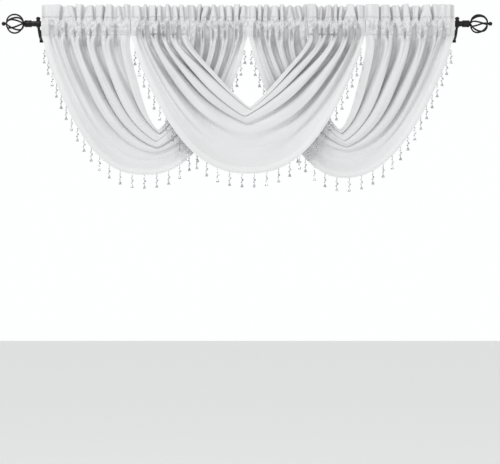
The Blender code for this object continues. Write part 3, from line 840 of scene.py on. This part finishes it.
def add_strand(net, top, seed):
    """One thread with small round beads, two faceted ones, and a drop at its end."""
    sway = STRAND_SWAY * uneven(1, 0.3, 5.3 * seed)
    places = [top + np.array((sway * aside, 0.0, -depth)) for depth, _, _, aside in STRAND_BEADS]
    path = [top, *places, top + np.array((0.0, 0.0, THREAD_IN_DROP - STRAND_LENGTH))]
    add_tube(net, path, np.array((1.0, 0.0, 0.0)), THREAD_WIDTH, THREAD_WIDTH, 5)
    for centre, (_, radius, height, _) in zip(places, STRAND_BEADS):
        add_bead(net, centre, radius, height, seed)
    add_drop(net, top + np.array((0.0, 0.0, -STRAND_LENGTH)), seed)


def add_bead(net, centre, radius, height, seed):
    """A bead with flat facets, widest at its middle."""
    profile = [(0.5 * height, 0.0), (0.36 * height, 0.66 * radius), (0.0, radius),
               (-0.36 * height, 0.66 * radius), (-0.5 * height, 0.0)]
    add_turned(net, profile, BEAD_SIDES, centre, "z", seed)


def add_drop(net, foot, seed):
    """A faceted drop, narrow above and widest near its flat foot."""
    add_turned(net, DROP_SHAPE, BEAD_SIDES, foot, "z", seed)


# Rod, finials and brackets


def lathe(name, profile, material, steps=ROUND_STEPS, axis="x", centre=ROD_MIDDLE):
    """A piece that is one turned body, about the rod's axis unless another is given."""
    net = Net()
    add_turned(net, profile, steps, centre, axis)
    return net.finish(name, material, sharp_angle=35)


def make_rod(material):
    """The rod, a tube with chamfered ends."""
    half = ROD_LENGTH / 2
    outer = ROD_DIAMETER / 2
    inner = outer - ROD_WALL
    chamfer = 0.0004
    profile = [(-half, inner), (-half, outer - chamfer), (-half + chamfer, outer),
               (half - chamfer, outer), (half, outer - chamfer), (half, inner)]
    return lathe("rod_tube", profile, material)


def make_finial(side, way, material):
    """Socket with turned beads, a twisted wire cage and an end knob."""
    end = ROD_LENGTH / 2
    bore = ROD_DIAMETER / 2 + FIT_GAP
    start = end - SOCKET_OVERLAP
    tip = start + SOCKET_LENGTH
    outer = SOCKET_DIAMETER / 2
    neck = SOCKET_NECK * outer
    raised = outer + SOCKET_BEAD
    profile = [(start, bore), (start, outer), (start + 0.0006, raised), (start + 0.0024, raised),
               (start + 0.0030, outer), (tip - neck - 0.0034, outer), (tip - neck - 0.0028, raised),
               (tip - neck - 0.0010, raised), (tip - neck, outer)]
    for share in (0.2, 0.4, 0.6, 0.8, 1.0):
        profile.append((tip - neck + neck * share, outer - (outer - neck) * share**1.6))
    profile += [(tip + 0.0004, 0.0), (end + FIT_GAP, 0.0), (end + FIT_GAP, bore)]
    net = Net()
    add_turned(net, [(way * x, radius) for x, radius in profile], ROUND_STEPS, ROD_MIDDLE)
    for k in range(CAGE_WIRES):
        add_cage_wire(net, way, tip, CAGE_TURN[side] + 2 * math.pi * k / CAGE_WIRES)
    add_knob(net, way, tip + CAGE_LENGTH)
    return net.finish(side + "_cage_finial", material, sharp_angle=35)


def add_cage_wire(net, way, start, turn):
    """One wire of the cage, thickest at its middle, from the socket's tip to the knob."""
    t = np.linspace(0, 1, CAGE_STEPS + 1)
    arch = np.sin(math.pi * t)
    angle = turn + CAGE_TWIST * (t - 0.5)
    radius = np.maximum((CAGE_RADIUS - CAGE_WIRE / 2) * arch**0.85, CAGE_ROOT)
    along = start + WIRE_INSET + (CAGE_LENGTH - 2 * WIRE_INSET) * (0.5 - 0.5 * np.cos(math.pi * t))
    path = np.stack([way * along, radius * np.cos(angle) - ROD_TO_WALL, radius * np.sin(angle)], axis=1)
    middle = np.array((0.0, math.cos(turn), math.sin(turn)))
    thickness = CAGE_WIRE * (0.6 + 0.4 * np.sqrt(arch))
    add_tube(net, path, middle, thickness, thickness, WIRE_SIDES)


def add_knob(net, way, start):
    """A round knob on a short neck, where the wires meet."""
    centre = start + 1.3 * KNOB_RADIUS
    root = start - 2 * WIRE_INSET
    profile = [(root, 0.0), (root, 1.3 * KNOB_NECK), (start, KNOB_NECK)]
    for degrees in range(140, 0, -12):
        a = math.radians(degrees)
        profile.append((centre + KNOB_RADIUS * math.cos(a), KNOB_RADIUS * math.sin(a)))
    profile.append((centre + KNOB_RADIUS, 0.0))
    add_turned(net, [(way * x, radius) for x, radius in profile], ROUND_STEPS // 2, ROD_MIDDLE)


def make_bracket(side, material):
    """Wall plate, curved arm, and the ring that holds the rod."""
    x = BRACKET_X[side]
    bore = ROD_DIAMETER / 2 + FIT_GAP
    rim = bore + RING_WALL
    half = RING_WIDTH / 2
    round_off = 0.0008
    net = Net()
    profile = [(-half, bore), (-half, rim - round_off), (-half + round_off, rim),
               (half - round_off, rim), (half, rim - round_off), (half, bore)]
    add_turned(net, profile, ROUND_STEPS, (x, -ROD_TO_WALL, 0.0))
    add_plate(net, x)
    reach = ROD_TO_WALL - bore
    shares = np.linspace(0.02, 1.0, BRACKET_ARM_STEPS)
    heights = smooth_through(np.array(BRACKET_ARM_SHARES), np.array(BRACKET_ARM_HEIGHTS), shares)
    path = np.stack([np.full_like(shares, x), -reach * shares, heights], axis=1)
    add_tube(net, path, np.array((1.0, 0.0, 0.0)), ARM_WIDTH, ARM_THICKNESS, 12)
    return net.finish(side + "_bracket_arm", material, sharp_angle=35)


def add_plate(net, x):
    """A wall plate with a softened face edge."""
    inset = 0.0012
    levels = ((0.0, 0.0), (-PLATE_THICKNESS + inset, 0.0), (-PLATE_THICKNESS, inset))
    rings = []
    for y, cut in levels:
        x0, x1 = x - PLATE_WIDTH / 2 + cut, x + PLATE_WIDTH / 2 - cut
        z0, z1 = PLATE_BOTTOM + cut, PLATE_TOP - cut
        rings.append(net.add_row([(x0, y, z0), (x1, y, z0), (x1, y, z1), (x0, y, z1)]))
    for a, b in zip(rings, rings[1:]):
        for k in range(4):
            n = (k + 1) % 4
            net.add_cell(a[k], a[n], b[n], b[k])
    net.add_cell(*rings[0][::-1])
    net.add_cell(*rings[-1])


def make_thumb_screw(side, material):
    """Round thumb screw on top of the bracket's ring."""
    base = ROD_DIAMETER / 2 + 2 * FIT_GAP + RING_WALL
    profile = [(base + share * SCREW_HEIGHT, radius * SCREW_RADIUS) for share, radius in SCREW_SHAPE]
    return lathe(side + "_screw_head", profile, material, 28, "z", (BRACKET_X[side], -ROD_TO_WALL, 0.0))


# Materials


class Nodes:
    """Adds nodes to a material and links them in one line each."""

    def __init__(self, name):
        self.material = bpy.data.materials.new(name)
        self.material.use_nodes = True
        self.tree = self.material.node_tree
        self.shader = self.tree.nodes["Principled BSDF"]

    def feed(self, socket, value):
        """Links a socket to the value if that is a socket too, and sets it otherwise."""
        if isinstance(value, bpy.types.NodeSocket):
            self.tree.links.new(value, socket)
        else:
            socket.default_value = value

    def add(self, kind, settings=None, **inputs):
        """A node of a kind, with its settings and its inputs by name."""
        node = self.tree.nodes.new(kind)
        for key, value in (settings or {}).items():
            setattr(node, key, value)
        for key, value in inputs.items():
            self.feed(node.inputs[key.replace("_", " ")], value)
        return node

    def math(self, operation, first, second):
        """The result of an operation on two values."""
        node = self.tree.nodes.new("ShaderNodeMath")
        node.operation = operation
        self.feed(node.inputs[0], first)
        self.feed(node.inputs[1], second)
        return node.outputs[0]

    def ramp(self, value, stops):
        """A colour ramp from (position, colour) pairs."""
        node = self.add("ShaderNodeValToRGB", Fac=value)
        elements = node.color_ramp.elements
        for k, (position, colour) in enumerate(stops):
            element = elements[k] if k < 2 else elements.new(position)
            element.position = position
            element.color = (*colour, 1.0)
        return node.outputs["Color"]

    def set(self, **inputs):
        """Sets the shader's inputs by name and returns the material."""
        for key, value in inputs.items():
            self.feed(self.shader.inputs[key.replace("_", " ")], value)
        return self.material


def stretched(nodes, coordinates, scale, detail, roughness=0.5):
    """Noise over coordinates that are stretched by a scale per axis."""
    mapping = nodes.add("ShaderNodeMapping", Vector=coordinates, Scale=scale)
    texture = nodes.add("ShaderNodeTexNoise", Vector=mapping.outputs["Vector"], Scale=1.0, Detail=detail,
                        Roughness=roughness)
    return texture.outputs["Fac"]


def silk_material():
    """White faux silk: a fine weave with thicker slub threads, and a soft sheen."""
    nodes = Nodes("faux_silk_white")
    cloth = nodes.add("ShaderNodeUVMap", {"uv_map": "cloth"}).outputs["UV"]
    slubs = stretched(nodes, cloth, (30.0, 900.0, 1.0), 3.0)
    fine = stretched(nodes, cloth, (2200.0, 160.0, 1.0), 2.0)
    patches = stretched(nodes, cloth, (9.0, 6.0, 1.0), 2.0)
    slub_lines = nodes.ramp(slubs, ((0.52, (0, 0, 0)), (0.72, (1, 1, 1))))
    shade = nodes.math("ADD", nodes.math("MULTIPLY", slub_lines, 0.16), nodes.math("MULTIPLY", patches, 0.84))
    body = nodes.ramp(shade, ((0.2, (0.665, 0.667, 0.672)), (0.75, (0.745, 0.746, 0.750))))
    band = nodes.add("ShaderNodeAttribute", {"attribute_name": "hem_band"}).outputs["Fac"]
    colour = nodes.add("ShaderNodeMix", {"data_type": "RGBA"})
    nodes.feed(colour.inputs[0], nodes.math("MULTIPLY", band, 0.35))
    nodes.feed(colour.inputs[6], body)
    nodes.feed(colour.inputs[7], (0.82, 0.825, 0.82, 1.0))
    gloss = nodes.add("ShaderNodeMapRange", Value=slubs, To_Min=0.46, To_Max=0.60)
    height = nodes.math("ADD", slub_lines, nodes.math("MULTIPLY", fine, 0.35))
    bump = nodes.add("ShaderNodeBump", Height=height, Strength=0.14, Distance=0.0004)
    return nodes.set(Base_Color=colour.outputs[2], Roughness=gloss.outputs["Result"],
                     Normal=bump.outputs["Normal"], Sheen_Weight=0.25, Sheen_Roughness=0.4)


def tape_material():
    """Braided white tape."""
    nodes = Nodes("braided_tape")
    place = nodes.add("ShaderNodeNewGeometry").outputs["Position"]
    wave = nodes.add("ShaderNodeTexWave", {"bands_direction": "DIAGONAL"}, Vector=place, Scale=160.0,
                     Distortion=1.5)
    colour = nodes.ramp(wave.outputs["Fac"], ((0.0, (0.70, 0.70, 0.71)), (1.0, (0.82, 0.82, 0.83))))
    bump = nodes.add("ShaderNodeBump", Height=wave.outputs["Fac"], Strength=0.3, Distance=0.0005)
    return nodes.set(Base_Color=colour, Roughness=0.6, Normal=bump.outputs["Normal"])


def bead_material():
    """Clear faceted plastic with a faint silver lining."""
    nodes = Nodes("clear_silver_beads")
    place = nodes.add("ShaderNodeNewGeometry").outputs["Position"]
    cloud = stretched(nodes, place, (55.0, 55.0, 55.0), 1.0)
    colour = nodes.ramp(cloud, ((0.35, (0.48, 0.49, 0.51)), (0.65, (0.78, 0.79, 0.80))))
    return nodes.set(Base_Color=colour, Roughness=0.04, Transmission_Weight=0.6, IOR=1.56, Coat_Weight=1.0,
                     Coat_Roughness=0.02)


def metal_material():
    """Satin black paint with a faint brown cast, slightly worn in patches."""
    nodes = Nodes("black_painted_metal")
    place = nodes.add("ShaderNodeNewGeometry").outputs["Position"]
    pits = stretched(nodes, place, (900.0, 900.0, 900.0), 3.0)
    wear = stretched(nodes, place, (90.0, 90.0, 90.0), 4.0, 0.65)
    colour = nodes.ramp(wear, ((0.45, (0.010, 0.009, 0.009)), (0.75, (0.036, 0.031, 0.027))))
    gloss = nodes.add("ShaderNodeMapRange", Value=wear, To_Min=0.28, To_Max=0.46)
    bump = nodes.add("ShaderNodeBump", Height=pits, Strength=0.12, Distance=0.0003)
    return nodes.set(Base_Color=colour, Metallic=0.25, Roughness=gloss.outputs["Result"],
                     Specular_IOR_Level=0.22, Normal=bump.outputs["Normal"])


def floor_material():
    """Plain pale floor."""
    nodes = Nodes("pale_floor")
    return nodes.set(Base_Color=(0.93, 0.93, 0.93, 1.0), Roughness=0.7)


# Camera, light and floor


def add_camera():
    """The photo's camera, level and square to the wall."""
    data = bpy.data.cameras.new("photo_camera")
    data.sensor_width = SENSOR_WIDTH
    data.lens = PHOTO_FOCAL / PHOTO_WIDTH * SENSOR_WIDTH
    data.clip_end = 60
    camera = bpy.data.objects.new("photo_camera", data)
    camera.location = CAMERA_PLACE
    camera.rotation_euler = (math.pi / 2, 0, 0)
    bpy.context.scene.collection.objects.link(camera)
    bpy.context.scene.camera = camera


def add_light(name, place, size, power):
    """A square area light that points at the cloth."""
    data = bpy.data.lights.new(name, "AREA")
    data.size = size
    data.energy = power
    light = bpy.data.objects.new(name, data)
    light.location = place
    light.rotation_euler = (Vector(LIT_PLACE) - Vector(place)).to_track_quat("-Z", "Y").to_euler()
    bpy.context.scene.collection.objects.link(light)


def add_world():
    """Pale light from all round, brighter from behind the wall's plane, so that the backdrop is white."""
    world = bpy.data.worlds.new("pale_room")
    world.use_nodes = True
    tree = world.node_tree
    way = tree.nodes.new("ShaderNodeTexCoord").outputs["Generated"]
    parts = tree.nodes.new("ShaderNodeSeparateXYZ")
    tree.links.new(way, parts.inputs[0])
    towards_wall = tree.nodes.new("ShaderNodeMapRange")
    tree.links.new(parts.outputs["Y"], towards_wall.inputs["Value"])
    ends = {"From Min": -BACKDROP_EDGE, "From Max": BACKDROP_EDGE, "To Min": ROOM_LIGHT,
            "To Max": BACKDROP_LIGHT}
    for name, value in ends.items():
        towards_wall.inputs[name].default_value = value
    background = tree.nodes["Background"]
    tree.links.new(towards_wall.outputs["Result"], background.inputs["Strength"])
    background.inputs["Color"].default_value = (0.99, 0.995, 1.0, 1.0)
    bpy.context.scene.world = world
    bpy.context.scene.view_settings.view_transform = "Standard"


def add_floor():
    """A wide floor well under the part."""
    net = Net()
    low, high = -FLOOR_REACH, FLOOR_REACH
    corners = [(low, low), (high, low), (high, high), (low, high)]
    net.add_cell(*net.add_row([(x, y, FLOOR_HEIGHT) for x, y in corners]))
    net.finish("floor", floor_material(), smooth=False)


# All of it


def stand_for(piece, node):
    """The piece rides on the model's one body and stands for a node, whose own part it hides."""
    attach(piece, "root")
    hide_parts(node)


def dress_swag(side_name, silk, tape, beads):
    """One swag's cloth, a gathered sheet, with the tape and the strands that are sewn to it."""
    cloth, points = make_swag(side_name, silk)
    ribbon, strands = make_fringe(side_name, points, tape, beads)
    stand_for(cloth, side_name + "_swag")
    for piece in (ribbon, strands):
        stand_for(piece, side_name + "_bead_fringe")


def main():
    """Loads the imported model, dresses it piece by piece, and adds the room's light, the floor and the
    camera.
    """
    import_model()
    metal = metal_material()
    stand_for(make_rod(metal), "curtain_rod")
    for side, way in (("left", -1), ("right", 1)):
        stand_for(make_finial(side, way, metal), side + "_finial")
        stand_for(make_bracket(side, metal), side + "_bracket")
        stand_for(make_thumb_screw(side, metal), side + "_thumb_screw")
    silk, tape, beads = silk_material(), tape_material(), bead_material()
    for side_name in SWAGS:
        dress_swag(side_name, silk, tape, beads)
    add_world()
    add_light("key_light", *KEY_LIGHT)
    add_light("fill_light", *FILL_LIGHT)
    add_floor()
    add_camera()


main()
